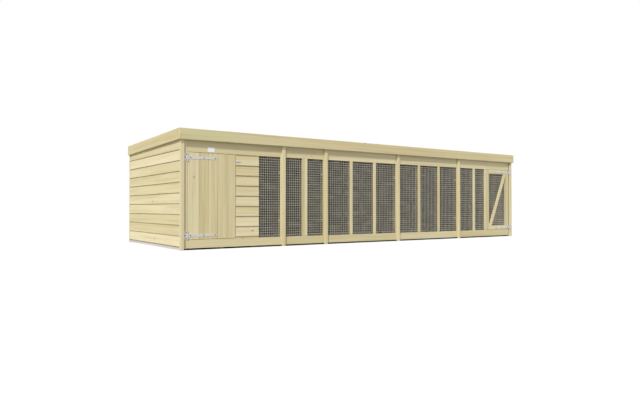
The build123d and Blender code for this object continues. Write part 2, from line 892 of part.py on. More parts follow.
with BuildPart() as run_door_battens:
    with BuildSketch(front_plane(front)):
        door_frame_outline()
        outline(
            (door_inner_left + joint_gap, door_inner_bottom + joint_gap),
            (door_inner_left + run_door_brace_width, door_inner_bottom + joint_gap),
            (door_inner_right - joint_gap, door_inner_top - joint_gap),
            (door_inner_right - run_door_brace_width, door_inner_top - joint_gap),
        )
    extrude(amount=-batten_thickness)
    pierce(run_strap_points, front, screw_grip, screw_hole_radius)
store(run_door_battens.part, "run_door_battens")

with BuildPart() as run_door_frame:
    with BuildSketch(front_plane(frame_front)):
        door_frame_outline()
    extrude(amount=-run_door_frame_thickness)
store(run_door_frame.part, "run_door_frame")

door_opening = [(door_inner_left, door_inner_right, door_inner_bottom, door_inner_top)]
run_door_mesh = holed_sheet(run_door_left, run_door_right, door_bottom, door_top, door_opening)
store(run_door_mesh, "run_door_mesh")

# Turn buttons, each on its own screw, at rest clear of the doors
latch_post_middle = (latch_post_left + latch_post_right) / 2
button_back = front - washer_thickness - button_play
button_front = button_back - button_thickness


def turn_button(pivot_x, pivot_z, angle):
    """A round-ended steel button that reaches from its screw in the direction of the angle."""
    with BuildPart() as button:
        with BuildSketch(front_plane(button_back)):
            with Locations(Location((pivot_x, pivot_z, 0), (0, 0, angle))):
                with Locations((button_reach / 2, 0)):
                    SlotCenterToCenter(button_reach, 2 * button_radius)
            with Locations((pivot_x, pivot_z)):
                Circle(button_pin_radius + running_clearance, mode=Mode.SUBTRACT)
        extrude(amount=button_thickness)
    return button.part


store(turn_button(kennel_button_x, kennel_button_height, 0), "kennel_button")
store(turn_button(latch_post_middle, run_button_heights[1], -90), "run_button_upper")
store(turn_button(latch_post_middle, run_button_heights[0], lower_button_slant - 90), "run_button_lower")

board_rise = (kennel_button_height - washer_radius - front_board_start) % cladding_cover - board_gap
board_taper = (front_cladding_thickness - cladding_thin_edge) / (cladding_cover + cladding_lap)
spacer_reach = board_taper * board_rise
with BuildPart() as button_screws:
    for pivot_x, pivot_z, reach in (
        (kennel_button_x, kennel_button_height, spacer_reach),
        (latch_post_middle, run_button_heights[0], 0),
        (latch_post_middle, run_button_heights[1], 0),
    ):
        head_back = button_front - button_play
        pivot = [(pivot_x, pivot_z)]
        rods(pivot, head_back, front + screw_grip - head_back, button_pin_radius)
        rods(pivot, front - washer_thickness, washer_thickness + reach, washer_radius)
        rods(pivot, head_back - screw_head_height, screw_head_height, screw_head_radius)
store(button_screws.part, "button_screws")
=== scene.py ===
# %% [markdown]
# # A timber dog kennel with a wire-mesh run
#
# The real object is a low building of pressure-treated softwood, about 5.5 m long. Its left end is a closed
# sleeping compartment with overlapping boards and a boarded door. The rest is a run behind welded wire
# mesh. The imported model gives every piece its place. This lesson dresses those pieces, so the work is
# mostly timber: boards with softened edges, their grain running the right way and each board a little
# unlike its neighbours.

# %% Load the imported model
import math

import bpy
import numpy as np
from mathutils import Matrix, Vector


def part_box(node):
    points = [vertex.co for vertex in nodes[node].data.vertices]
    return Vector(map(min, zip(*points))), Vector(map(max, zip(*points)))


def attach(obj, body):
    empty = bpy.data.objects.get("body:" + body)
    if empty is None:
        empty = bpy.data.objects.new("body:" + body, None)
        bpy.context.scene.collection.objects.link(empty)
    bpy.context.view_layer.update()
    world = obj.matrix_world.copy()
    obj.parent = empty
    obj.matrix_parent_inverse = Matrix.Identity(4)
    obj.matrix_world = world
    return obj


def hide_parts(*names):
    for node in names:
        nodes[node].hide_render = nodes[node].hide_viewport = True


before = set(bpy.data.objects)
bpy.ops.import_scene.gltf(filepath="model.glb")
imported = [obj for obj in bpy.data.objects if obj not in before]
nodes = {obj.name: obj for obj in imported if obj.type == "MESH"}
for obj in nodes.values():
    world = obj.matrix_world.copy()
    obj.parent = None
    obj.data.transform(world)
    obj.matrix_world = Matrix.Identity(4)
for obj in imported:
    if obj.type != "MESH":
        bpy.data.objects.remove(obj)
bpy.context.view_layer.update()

# %% [markdown]
# ## Helpers for finishes
#
# A finish is a small chain of shader nodes. One function adds a node, sets it up and links what feeds it,
# so that each finish below reads as a recipe. Colours are written as the eye sees them on a screen, and
# turned linear once.


# %% Two helpers for finishes
def shade(hex_code):
    """A screen colour as linear light: each channel follows the sRGB curve, with alpha 1."""
    channels = np.array([int(hex_code[start : start + 2], 16) for start in (1, 3, 5)]) / 255
    linear = np.where(channels <= 0.04045, channels / 12.92, ((channels + 0.055) / 1.055) ** 2.4)
    return (*linear.tolist(), 1.0)


def add(tree, kind, feeds=None, **settings):
    """Adds one shader node. Settings are its own properties, feeds are values or sockets for its inputs."""
    node = tree.nodes.new(kind)
    for setting, value in settings.items():
        setattr(node, setting, value)
    for socket, value in (feeds or {}).items():
        if isinstance(value, bpy.types.NodeSocket):
            tree.links.new(value, node.inputs[socket])
        else:
            node.inputs[socket].default_value = value
    return node


def new_finish(name):
    """An empty finish and its surface shader."""
    finish = bpy.data.materials.new(name)
    finish.use_nodes = True
    tree = finish.node_tree
    return finish, tree, tree.nodes["Principled BSDF"]


print("linear value of the pale timber", [round(value, 3) for value in shade("#d8cba0")])

# %% [markdown]
# ## Pressure-treated softwood
#
# The boards are planed pine. Light earlywood and darker latewood make long streaks, from a few millimetres
# to three centimetres wide and up to a metre long. Knots are brown ovals, 10 to 20 mm across and longer
# along the grain. The treatment leaves faint green patches, and heartwood shows peach. The pattern could be
# one picture of wood, but then every board would repeat it. Instead the grain is noise stretched along each
# board, read from the board's own map, where one unit is one metre. The framing and the backs and undersides
# of the weatherboards are rough from the saw, and their colour is also painted much darker than sawn pine,
# as painted shade for the inside of the building and under each board.


# %% The softwood recipe
GRAIN_TURN = {"x": (0, 0, 0), "y": (0, 0, -math.pi / 2), "z": (0, math.pi / 2, 0)}


def softwood(name, grain, pale="#e6daae", streak="#d2c190", knot="#7a5a34"):
    """Planed pine. grain is "board" for pieces with their own map, or the axis that the grain follows."""
    finish, tree, surface = new_finish(name)
    if grain == "board":
        own_map = add(tree, "ShaderNodeUVMap", uv_map="grain")
        board = add(tree, "ShaderNodeAttribute", attribute_name="board").outputs["Fac"]
        flat = add(tree, "ShaderNodeSeparateXYZ", {0: own_map.outputs[0]})
        depth = add(tree, "ShaderNodeMath", {0: board, 1: 9.0}, operation="MULTIPLY")
        along = {0: flat.outputs[0], 1: flat.outputs[1], 2: depth.outputs[0]}
        place = add(tree, "ShaderNodeCombineXYZ", along).outputs[0]
    else:
        place_node = add(tree, "ShaderNodeTexCoord")
        turn = {"Vector": place_node.outputs["Object"], "Rotation": GRAIN_TURN[grain]}
        turned = add(tree, "ShaderNodeMapping", turn)
        place = turned.outputs[0]
        parts = add(tree, "ShaderNodeVectorMath", {0: place, 1: (0.0, 8.0, 8.0)}, operation="MULTIPLY")
        whole = add(tree, "ShaderNodeVectorMath", {0: parts.outputs[0]}, operation="FLOOR")
        cells = add(tree, "ShaderNodeTexWhiteNoise", {0: whole.outputs[0]})
        board = cells.outputs["Value"]
    long_grain = add(tree, "ShaderNodeMapping", {"Vector": place, "Scale": (0.8, 30.0, 30.0)})
    ring_waves = {"Vector": long_grain.outputs[0], "Scale": 1.0, "Detail": 3.0, "Distortion": 0.6}
    rings = add(tree, "ShaderNodeTexNoise", ring_waves)
    fine_grain = add(tree, "ShaderNodeMapping", {"Vector": place, "Scale": (5.0, 330.0, 330.0)})
    fibres = add(tree, "ShaderNodeTexNoise", {"Vector": fine_grain.outputs[0], "Scale": 1.0, "Detail": 2.0})
    ring_share = add(tree, "ShaderNodeMapRange", {0: rings.outputs[0], 1: 0.42, 2: 0.74, 3: 0.0, 4: 0.85})
    fibre_share = add(tree, "ShaderNodeMapRange", {0: fibres.outputs[0], 1: 0.3, 2: 0.7, 3: -0.1, 4: 0.16})
    rings_and_fibres = {0: ring_share.outputs[0], 1: fibre_share.outputs[0]}
    streaks = add(tree, "ShaderNodeMath", rings_and_fibres, use_clamp=True)
    timber_tone = add(
        tree, "ShaderNodeMix", {0: streaks.outputs[0], 6: shade(pale), 7: shade(streak)}, data_type="RGBA"
    )
    patch_map = add(tree, "ShaderNodeMapping", {"Vector": place, "Scale": (1.6, 5.0, 5.0)})
    patches = add(tree, "ShaderNodeTexNoise", {"Vector": patch_map.outputs[0], "Scale": 1.0, "Detail": 1.5})
    green = add(tree, "ShaderNodeMapRange", {0: patches.outputs[0], 1: 0.55, 2: 0.8, 3: 0.0, 4: 0.4})
    peach = add(tree, "ShaderNodeMapRange", {0: patches.outputs[0], 1: 0.45, 2: 0.2, 3: 0.0, 4: 0.4})
    greened = add(
        tree,
        "ShaderNodeMix",
        {0: green.outputs[0], 6: timber_tone.outputs[2], 7: shade("#dbd9a6")},
        data_type="RGBA",
    )
    warmed = add(
        tree,
        "ShaderNodeMix",
        {0: peach.outputs[0], 6: greened.outputs[2], 7: shade("#e8cfa2")},
        data_type="RGBA",
    )
    knot_map = add(tree, "ShaderNodeMapping", {"Vector": place, "Scale": (5.0, 11.0, 11.0)})
    knot_cells = {"Vector": knot_map.outputs[0], "Scale": 1.0, "Randomness": 1.0}
    knots = add(tree, "ShaderNodeTexVoronoi", knot_cells)
    chance = add(tree, "ShaderNodeSeparateColor", {0: knots.outputs["Color"]})
    chosen = add(tree, "ShaderNodeMath", {0: chance.outputs[0], 1: 0.45}, operation="GREATER_THAN")
    knot_reach = {0: knots.outputs["Distance"], 1: 0.11, 2: 0.03, 3: 0.0, 4: 0.85}
    core = add(tree, "ShaderNodeMapRange", knot_reach)
    both = {0: core.outputs[0], 1: chosen.outputs[0]}
    knot_share = add(tree, "ShaderNodeMath", both, operation="MULTIPLY")
    knotted = add(
        tree,
        "ShaderNodeMix",
        {0: knot_share.outputs[0], 6: warmed.outputs[2], 7: shade(knot)},
        data_type="RGBA",
    )
    brightness = add(tree, "ShaderNodeMapRange", {0: board, 1: 0.0, 2: 1.0, 3: 0.88, 4: 1.06})
    warmth = add(tree, "ShaderNodeMapRange", {0: board, 1: 0.0, 2: 1.0, 3: 1.08, 4: 0.92})
    toned = add(
        tree,
        "ShaderNodeHueSaturation",
        {"Color": knotted.outputs[2], "Value": brightness.outputs[0], "Saturation": warmth.outputs[0]},
    )
    tree.links.new(toned.outputs[0], surface.inputs["Base Color"])
    surface.inputs["Roughness"].default_value = 0.68
    surface.inputs["Specular IOR Level"].default_value = 0.3
    grain_height = {"Strength": 0.25, "Distance": 0.0006, "Height": streaks.outputs[0]}
    relief = add(tree, "ShaderNodeBump", grain_height)
    tree.links.new(relief.outputs[0], surface.inputs["Normal"])
    return finish


board_pine = softwood("planed_pine_board", "board")
sleeper_pine = softwood("sleeper_pine", "y", pale="#e9e0da", streak="#d7cbc6")
# These dark tones are partly rough-sawn pine and partly painted shade for timber inside the building and under
# the boards
SAWN_AND_SHADED_TONES = ("#6c6246", "#584d33", "#382c1b")
sawn_and_shaded = {axis: softwood(f"rough_sawn_shaded_pine_{axis}", axis, *SAWN_AND_SHADED_TONES) for axis in "xyz"}
planed_pine = {axis: softwood(f"planed_pine_{axis}", axis) for axis in "xz"}
sawn_and_shaded_board = softwood("rough_sawn_shaded_pine_board", "board", *SAWN_AND_SHADED_TONES)
print("softwood finishes:", board_pine.name, [finish.name for finish in sawn_and_shaded.values()])

# %% [markdown]
# ## Metal, felt, strand board and plastic
#
# The tee hinges and buttons are hot-dip galvanised steel: dull, pale grey and slightly blotched where the
# zinc froze in patches of a few millimetres. The mesh is welded first and then galvanised, which leaves it
# rougher and a little warmer. The hinge screws are coated black. Roof felt is bitumen with mineral grit.
# The roof boards are pressed strands. The plate is moulded plastic.


# %% The other finishes
def galvanised(name, light, dark, grain_per_metre, roughness):
    """Zinc-coated steel: two greys in frozen patches and a roughness that varies a little. The pale skin that
    weathering leaves on zinc covers most of the bare metal, so it is only partly metallic."""
    finish, tree, surface = new_finish(name)
    place = add(tree, "ShaderNodeTexCoord").outputs["Object"]
    patches = add(tree, "ShaderNodeTexVoronoi", {"Vector": place, "Scale": grain_per_metre})
    patch_tone = add(tree, "ShaderNodeSeparateColor", {0: patches.outputs["Color"]})
    clouds = add(tree, "ShaderNodeTexNoise", {"Vector": place, "Scale": grain_per_metre / 6, "Detail": 3.0})
    both = {0: patch_tone.outputs[0], 1: clouds.outputs[0]}
    mixed = add(tree, "ShaderNodeMath", both, operation="MULTIPLY")
    tones = {0: mixed.outputs[0], 6: shade(light), 7: shade(dark)}
    colour = add(tree, "ShaderNodeMix", tones, data_type="RGBA")
    tree.links.new(colour.outputs[2], surface.inputs["Base Color"])
    dullness = add(tree, "ShaderNodeMapRange", {0: mixed.outputs[0], 3: roughness, 4: roughness + 0.15})
    tree.links.new(dullness.outputs[0], surface.inputs["Roughness"])
    surface.inputs["Metallic"].default_value = 0.3
    return finish


def grit_felt():
    """Bitumen felt: a dark base with crushed slate of about 2 mm, drawn coarse enough to show."""
    finish, tree, surface = new_finish("mineral_felt")
    place = add(tree, "ShaderNodeTexCoord").outputs["Object"]
    grit = add(tree, "ShaderNodeTexVoronoi", {"Vector": place, "Scale": 420.0})
    grit_tone = add(tree, "ShaderNodeSeparateColor", {0: grit.outputs["Color"]})
    worn = add(tree, "ShaderNodeTexNoise", {"Vector": place, "Scale": 2.2, "Detail": 5.0})
    share = add(tree, "ShaderNodeMath", {0: grit_tone.outputs[0], 1: worn.outputs[0]}, operation="MULTIPLY")
    tones = {0: share.outputs[0], 6: shade("#3f4541"), 7: shade("#8b918a")}
    colour = add(tree, "ShaderNodeMix", tones, data_type="RGBA")
    tree.links.new(colour.outputs[2], surface.inputs["Base Color"])
    surface.inputs["Roughness"].default_value = 0.92
    grit_height = {"Strength": 0.5, "Distance": 0.001, "Height": grit.outputs["Distance"]}
    relief = add(tree, "ShaderNodeBump", grit_height)
    tree.links.new(relief.outputs[0], surface.inputs["Normal"])
    return finish


def strand_board():
    """Pressed strands: long flakes of about 70 by 20 mm in several browns, all laid one slanting way."""
    finish, tree, surface = new_finish("strand_board")
    place = add(tree, "ShaderNodeTexCoord").outputs["Object"]
    flake_size = {"Vector": place, "Scale": (14.0, 45.0, 45.0), "Rotation": (0, 0, 0.5)}
    flake_map = add(tree, "ShaderNodeMapping", flake_size)
    flakes = add(tree, "ShaderNodeTexVoronoi", {"Vector": flake_map.outputs[0], "Scale": 1.0})
    tone = add(tree, "ShaderNodeSeparateColor", {0: flakes.outputs["Color"]})
    tones = {0: tone.outputs[0], 6: shade("#c9a873"), 7: shade("#8d6a3f")}
    colour = add(tree, "ShaderNodeMix", tones, data_type="RGBA")
    tree.links.new(colour.outputs[2], surface.inputs["Base Color"])
    surface.inputs["Roughness"].default_value = 0.75
    return finish


def moulded_plastic():
    """A white moulded plate: almost even, with the faint orange-peel skin of moulded plastic."""
    finish, tree, surface = new_finish("moulded_white_plastic")
    place = add(tree, "ShaderNodeTexCoord").outputs["Object"]
    skin = add(tree, "ShaderNodeTexNoise", {"Vector": place, "Scale": 900.0, "Detail": 1.0})
    tones = {0: skin.outputs[0], 6: shade("#fbf9f9"), 7: shade("#ffffff")}
    colour = add(tree, "ShaderNodeMix", tones, data_type="RGBA")
    tree.links.new(colour.outputs[2], surface.inputs["Base Color"])
    surface.inputs["Roughness"].default_value = 0.35
    relief = add(tree, "ShaderNodeBump", {"Strength": 0.1, "Distance": 0.0002, "Height": skin.outputs[0]})
    tree.links.new(relief.outputs[0], surface.inputs["Normal"])
    return finish


def blackened():
    """Screws coated black: dark, faintly brown where the coat is thin, with a low gloss."""
    finish, tree, surface = new_finish("blackened_steel")
    place = add(tree, "ShaderNodeTexCoord").outputs["Object"]
    thin = add(tree, "ShaderNodeTexNoise", {"Vector": place, "Scale": 350.0, "Detail": 2.0})
    tones = {0: thin.outputs[0], 6: shade("#161514"), 7: shade("#2a2622")}
    colour = add(tree, "ShaderNodeMix", tones, data_type="RGBA")
    tree.links.new(colour.outputs[2], surface.inputs["Base Color"])
    surface.inputs["Roughness"].default_value = 0.6
    return finish


black_screw = blackened()
hinge_zinc = galvanised("galvanised_steel", "#e2e0da", "#b4b1a8", 260.0, 0.42)
mesh_zinc = galvanised("galvanised_mesh", "#efeada", "#d4ceba", 180.0, 0.5)
felt = grit_felt()
strands = strand_board()
plate_plastic = moulded_plastic()
others = (hinge_zinc, mesh_zinc, black_screw, felt, strands, plate_plastic)
print("other finishes:", [finish.name for finish in others])

# %% [markdown]
# ## Timber as sections carried along a line
#
# A board is one section carried along its length. Planing leaves the long edges slightly rounded, and that
# small radius catches the light, so a box with sharp edges never looks like wood. A bevel on a cube would
# give the shape but no grain map. Here the section is worked out first, then every ring of every board in
# one array, and the map comes from the same numbers: metres along the board, and metres round the section.


# %% Rings to a mesh
def carried(rings, along, slope=None):
    """Boards from rings of points. rings has the shape boards, rings, points, 3, with the last axis in the
    order along, second, third. Each ring joins the next by four-cornered faces and the two end rings are
    filled. slope (moved axis, followed axis, rise, middle) adds rise times the distance from middle to the
    moved axis."""
    count, steps, points = rings.shape[:3]
    order = np.roll(np.arange(3), -along)
    corners = np.empty_like(rings)
    corners[..., order] = rings
    if slope is not None:
        moved, followed, rise, middle = slope
        corners[..., moved] += rise * (corners[..., followed] - middle)
    index = np.arange(count * steps * points).reshape(count, steps, points)
    after = np.roll(index, -1, axis=2)
    sides = np.stack([index[:, :-1], after[:, :-1], after[:, 1:], index[:, 1:]], axis=-1).reshape(-1, 4)
    round_it = np.linalg.norm(np.roll(rings, -1, axis=2)[..., 1:] - rings[..., 1:], axis=-1)
    reach = np.concatenate([np.zeros((count, steps, 1)), np.cumsum(round_it, axis=2)], axis=2)
    shift = random.uniform(0, 40, (count, 1, 1))
    lengthwise = rings[..., 0] + shift
    here, onward = reach[..., :-1] + shift, reach[..., 1:] + shift
    ahead = np.roll(lengthwise, -1, axis=2)
    side_map = np.stack(
        [
            np.stack([lengthwise[:, :-1], here[:, :-1]], -1),
            np.stack([ahead[:, :-1], onward[:, :-1]], -1),
            np.stack([ahead[:, 1:], onward[:, 1:]], -1),
            np.stack([lengthwise[:, 1:], here[:, 1:]], -1),
        ],
        axis=-2,
    ).reshape(-1, 2)
    ends = np.concatenate([index[:, 0, ::-1], index[:, -1]])
    end_map = np.concatenate([rings[:, 0, ::-1, 1:], rings[:, -1, :, 1:]]).reshape(-1, 2)
    faces = sides.tolist() + ends.tolist()
    return corners.reshape(-1, 3), faces, np.concatenate([side_map, end_map]), count * [steps * points]


def timber_piece(name, body, stands_for, finish, pieces):
    """One object from carried boards: their corners, faces and maps end to end, and a chance value for each
    board."""
    mesh = bpy.data.meshes.new(name)
    corners = np.concatenate([piece[0] for piece in pieces])
    offsets = np.cumsum([0] + [len(piece[0]) for piece in pieces])
    faces = []
    for piece, start in zip(pieces, offsets):
        faces += [[corner + start for corner in face] for face in piece[1]]
    mesh.from_pydata(corners.tolist(), [], faces)
    grain_map = mesh.uv_layers.new(name="grain")
    places = np.concatenate([piece[2] for piece in pieces])
    grain_map.data.foreach_set("uv", places.astype(np.float32).ravel())
    sizes = [size for piece in pieces for size in piece[3]]
    chance = np.repeat(random.uniform(0, 1, len(sizes)), sizes)
    mesh.attributes.new("board", "FLOAT", "POINT").data.foreach_set("value", chance.astype(np.float32))
    mesh.materials.append(finish)
    piece = bpy.data.objects.new(name, mesh)
    bpy.context.scene.collection.objects.link(piece)
    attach(piece, body)
    for node in stands_for:
        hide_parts(node)
    print(name, len(sizes), "boards,", len(faces), "faces")
    return piece


SEED = 18
random = np.random.default_rng(SEED)
print("the chance values start from seed", SEED)


# %% Rounded boards
BOARD_ARRIS = 0.003


def planed(low, high, along, arris=BOARD_ARRIS, slope=None):
    """Rectangular boards with rounded edges. The section is a rectangle whose corners are arcs of three
    points: a point is the corner's centre plus the radius times the direction. The end rings draw in by part
    of the radius."""
    low, high = np.atleast_2d(low), np.atleast_2d(high)
    order = np.roll(np.arange(3), -along)
    start, stop = low[:, order], high[:, order]
    radius = np.minimum(arris, (stop[:, 1:] - start[:, 1:]).min(axis=1) / 2.2)
    corner = np.repeat(np.arange(4), 3)
    turn = corner * math.pi / 2 + np.tile([0, math.pi / 4, math.pi / 2], 4)
    outward = np.stack([np.cos(turn), np.sin(turn)], -1)
    side = np.array([[1, 1], [-1, 1], [-1, -1], [1, -1]])[corner]
    middle = (start[:, 1:] + stop[:, 1:]) / 2
    half = (stop[:, 1:] - start[:, 1:]) / 2 - radius[:, None]
    share = np.array([0.35, 1.0, 1.0, 0.35])
    inset = np.array([0.0, 0.65, 0.65, 0.0])
    rings = np.empty((len(low), 4, 12, 3))
    base = middle[:, None, None] + half[:, None, None] * side
    rings[..., 1:] = base + radius[:, None, None, None] * share[None, :, None, None] * outward
    begin = start[:, :1] + radius[:, None] * inset[:2]
    finish = stop[:, :1] - radius[:, None] * inset[2:]
    rings[..., 0] = np.concatenate([begin, finish], axis=1)[:, :, None]
    return carried(rings, along, slope)


def timbers_in(node):
    """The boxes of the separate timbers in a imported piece. Points at one place share a number, each triangle
    passes its lowest number to its corners until nothing changes, and the box of each number is a timber's
    box."""
    mesh = nodes[node].data
    points = np.empty(len(mesh.vertices) * 3, np.float32)
    mesh.vertices.foreach_get("co", points)
    points = points.reshape(-1, 3).astype(float)
    triangles = np.empty(len(mesh.loops), np.int64)
    mesh.loops.foreach_get("vertex_index", triangles)
    places, number = np.unique(np.round(points, 5), axis=0, return_inverse=True)
    corners = number.ravel()[triangles].reshape(-1, 3)
    label = np.arange(len(places))
    while True:
        lowest = label[corners].min(axis=1)
        spread = label.copy()
        np.minimum.at(spread, corners.ravel(), np.repeat(lowest, 3))
        if (spread == label).all():
            break
        label = spread
    groups = [places[label == value] for value in np.unique(label)]
    return np.array([group.min(0) for group in groups]), np.array([group.max(0) for group in groups])


low, high = timbers_in("front_cover_strips")
print("cover strips are", np.round((high - low)[0] * 1000, 1), "mm")

# %% [markdown]
# ## Facing boards, cover strips and fascias
#
# The frame of each panel is faced with flush boards that hold the mesh. Flat strips cover the panel joints
# and corners and stand on the ground. A deep fascia runs round the roof. All are planed boards, so each
# piece is a call that sorts its timbers by their longest side and rounds them. The two end fascias follow
# the roof's fall.


# %% Boards sorted by their grain
FASCIA_ARRIS = 0.004


def planed_pieces(node, arris=BOARD_ARRIS):
    """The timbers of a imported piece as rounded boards, each carried along its own longest side."""
    low, high = timbers_in(node)
    longest = (high - low).argmax(axis=1)
    groups = [(axis, longest == axis) for axis in range(3)]
    return [planed(low[group], high[group], axis, arris) for axis, group in groups if group.any()]


for number in range(1, 6):
    facing = f"front_battens_{number}"
    boards = planed_pieces(facing)
    timber_piece(f"facing_boards_{number}", "root", [facing], board_pine, boards)
for side in ("front", "back"):
    strips = f"{side}_cover_strips"
    timber_piece(f"{side}_strips", "root", [strips], board_pine, planed_pieces(strips))
    fascia = f"fascia_{side}"
    boards = planed_pieces(fascia, FASCIA_ARRIS)
    timber_piece(f"{side}_fascia", "root", [fascia], board_pine, boards)

# %% End fascias with the roof's fall
FASCIA_DEPTH = 0.120
for side in ("left", "right"):
    low, high = (np.array(corner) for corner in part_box(f"fascia_{side}"))
    fall = (high[2] - low[2] - FASCIA_DEPTH) / (high[1] - low[1])
    middle = (low[1] + high[1]) / 2
    centre = (low[2] + high[2]) / 2
    low[2], high[2] = centre - FASCIA_DEPTH / 2, centre + FASCIA_DEPTH / 2
    sloped = planed(low, high, 1, FASCIA_ARRIS, slope=(2, 1, -fall, middle))
    timber_piece(f"{side}_fascia", "root", [f"fascia_{side}"], board_pine, [sloped])
    print(side, "fascia falls", round(fall * 1000, 1), "mm per metre")

# %% [markdown]
# ## Overlapping weatherboards
#
# A weatherboard is thick at its lower edge and thin at the top, and its foot is rebated to sit over the
# board below. The thick edge throws the shadow line that makes such a wall. The section could be modelled
# once and copied. It is worked out per row instead, so the rows that the doorway cuts keep the right
# thickness where they are cut.

# %% The weatherboard section
COVER = 0.1139
LAP = 0.012
THIN_EDGE = 0.003
BOARD_GAP = 0.0003
EDGE_ROUND = 0.0022
TOP_ROUND = 0.0006
END_THICKNESS = 0.012
FRONT_THICKNESS = 0.0145
FRONT_FIRST_ROW = 0.0131
print(f"weatherboards cover {COVER * 1000:.1f} mm and lap {LAP * 1000:.0f} mm")


def weatherboard_rings(butt, outward, thickness, first_row, bottom, top, begin, end, section_order):
    """Rows of overlapping boards. The outer face is at thickness minus taper times the height over the row's
    foot, the foot stands one rebate out over the row below, and each row is cut at bottom and top."""
    height = COVER + LAP
    taper = (thickness - THIN_EDGE) / height
    rebate = thickness - taper * COVER + BOARD_GAP
    foot = first_row + COVER * np.arange(math.ceil((top - LAP - first_row) / COVER)) + BOARD_GAP
    low, high = np.maximum(foot, bottom), np.minimum(foot + height - BOARD_GAP, top)
    cut = low > foot + LAP
    inner = np.where(cut, 0.0, rebate)
    lap = np.maximum(foot + LAP, low + 0.0001)
    outer = thickness - taper * (low - foot)
    slight = EDGE_ROUND * 0.3
    top_edge = THIN_EDGE + taper * (foot + height - high)
    heights = [low, low, low + slight, low + EDGE_ROUND, high - TOP_ROUND, high, high, lap, lap]
    heights = np.stack(heights, -1)
    faces = [inner, outer - EDGE_ROUND, outer - slight, outer, top_edge]
    faces += [top_edge - TOP_ROUND, 0 * foot, 0 * foot, inner * 0.999]
    section = np.stack([butt + outward * np.stack(faces, -1), heights], -1)
    if section_order == "height first":
        section = section[..., ::-1]
    around = np.roll(section, -1, axis=1)
    area = (section[..., 0] * around[..., 1] - around[..., 0] * section[..., 1]).sum(axis=1)
    section = np.where((area > 0)[:, None, None], section, section[:, ::-1])
    rings = np.empty((len(foot), 2, section.shape[1], 3))
    rings[:, :, :, 1:] = section[:, None]
    rings[:, 0, :, 0] = begin
    rings[:, 1, :, 0] = end
    return rings


# %% Clad the two ends
for side, outward in (("left", -1), ("right", 1)):
    wall = f"{side}_wall_cladding"
    low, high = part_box(wall)
    butt = high.x if outward < 0 else low.x
    rows = (low.z - BOARD_GAP, low.z, high.z, low.y, high.y)
    rings = weatherboard_rings(butt, outward, END_THICKNESS, *rows, "height first")
    timber_piece(f"{side}_wall_boards", "root", [wall], board_pine, [carried(rings, 1)])

# %% Clad the back and the front beside the kennel door
PANEL_WIDTHS = np.array([1.215, 0.608, 1.198, 1.198, 1.171])
low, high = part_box("back_cladding")
edges = low.x + np.concatenate([[0.0], np.cumsum(PANEL_WIDTHS)])
panels = []
for near, far in zip(edges, edges[1:]):
    rows = (low.z - BOARD_GAP, low.z, high.z, near, far - BOARD_GAP)
    panels.append(carried(weatherboard_rings(low.y, 1, END_THICKNESS, *rows, "depth first"), 0))
back_boards = timber_piece(
    "back_wall_boards", "root", ["back_cladding"], board_pine, panels
)


def sawn_and_shaded_faces(piece, axis, sign):
    """The faces that point down, or the given way along an axis, take the dark rough-sawn finish: partly the
    real rough back of the boards, partly painted shade inside the walls and under each board. A component of
    their direction passes 0.7, so they lie within about 45 degrees of it."""
    directions = np.empty(len(piece.data.polygons) * 3)
    piece.data.polygons.foreach_get("normal", directions)
    directions = directions.reshape(-1, 3)
    # The downward and inward faces chosen here get painted shade as well as a sawn surface
    sawn_and_shaded_here = (directions[:, axis] * sign > 0.7) | (directions[:, 2] < -0.7)
    piece.data.materials.append(sawn_and_shaded_board)
    piece.data.polygons.foreach_set("material_index", sawn_and_shaded_here.astype(np.int32))
    print(piece.name, int(sawn_and_shaded_here.sum()), "dark faces, sawn and painted shade")


sawn_and_shaded_faces(back_boards, 1, -1)
sawn_and_shaded_faces(bpy.data.objects["left_wall_boards"], 0, 1)
sawn_and_shaded_faces(bpy.data.objects["right_wall_boards"], 0, -1)
low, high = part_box("front_cladding")
rows = (FRONT_FIRST_ROW, low.z, high.z, low.x, high.x)
boards = [carried(weatherboard_rings(high.y, -1, FRONT_THICKNESS, *rows, "depth first"), 0)]
front_boards = timber_piece(
    "front_wall_boards", "root", ["front_cladding"], board_pine, boards
)
sawn_and_shaded_faces(front_boards, 1, 1)

# %% [markdown]
# ## The two doors
#
# The kennel door is five upright boards on ledges. The run door is a frame of flat boards with one brace,
# and mesh behind them. The brace is a board whose ends are cut level, so it is an upright board whose
# points move sideways with their height. That keeps the grain along the brace, which a turned box with
# trimmed ends would also give, but with more work at the cuts.

# %% Kennel door boards and run door boards
DOOR_ARRIS = 0.0062
kennel_boards = planed_pieces("kennel_door_boards", DOOR_ARRIS)
timber_piece(
    "kennel_door_face", "kennel_door", ["kennel_door_boards"], board_pine, kennel_boards
)
BRACE_WIDTH = 0.064
low, high = timbers_in("run_door_battens")
widths = (high - low)[:, 0]
is_brace = (widths > 0.2) & ((high - low)[:, 2] > 0.5)
frame_low, frame_high = low[~is_brace], high[~is_brace]
longest = (frame_high - frame_low).argmax(axis=1)
door_frame = [planed(frame_low[longest == axis], frame_high[longest == axis], axis) for axis in (0, 2)]
brace_low, brace_high = low[is_brace][0], high[is_brace][0]
travel = (brace_high[0] - brace_low[0] - BRACE_WIDTH) / (brace_high[2] - brace_low[2])
upright_low, upright_high = brace_low.copy(), brace_high.copy()
upright_low[0] = (brace_low[0] + brace_high[0] - BRACE_WIDTH) / 2
upright_high[0] = upright_low[0] + BRACE_WIDTH
brace = planed(upright_low, upright_high, 2, slope=(0, 2, travel, (brace_low[2] + brace_high[2]) / 2))
timber_piece(
    "run_door_face", "run_door", ["run_door_battens"], board_pine, door_frame + [brace]
)
print("brace moves", round(travel, 3), "m sideways per metre of height")

# %% [markdown]
# ## Welded wire mesh
#
# The mesh has wires of about 2.5 mm every 28.4 mm, welded where they cross. From the front they are drawn
# 3.1 mm wide, so that they show at two pixels a pitch. Each wire is a six-sided tube, which is enough for
# something a pixel wide. A picture of a net on a flat sheet would be lighter, but it has no thickness from
# the side and casts no true shadow.

# %% Wires across and upright
WIRE = 0.0025
WIRE_FACE = 0.0031
PITCH = 0.0284


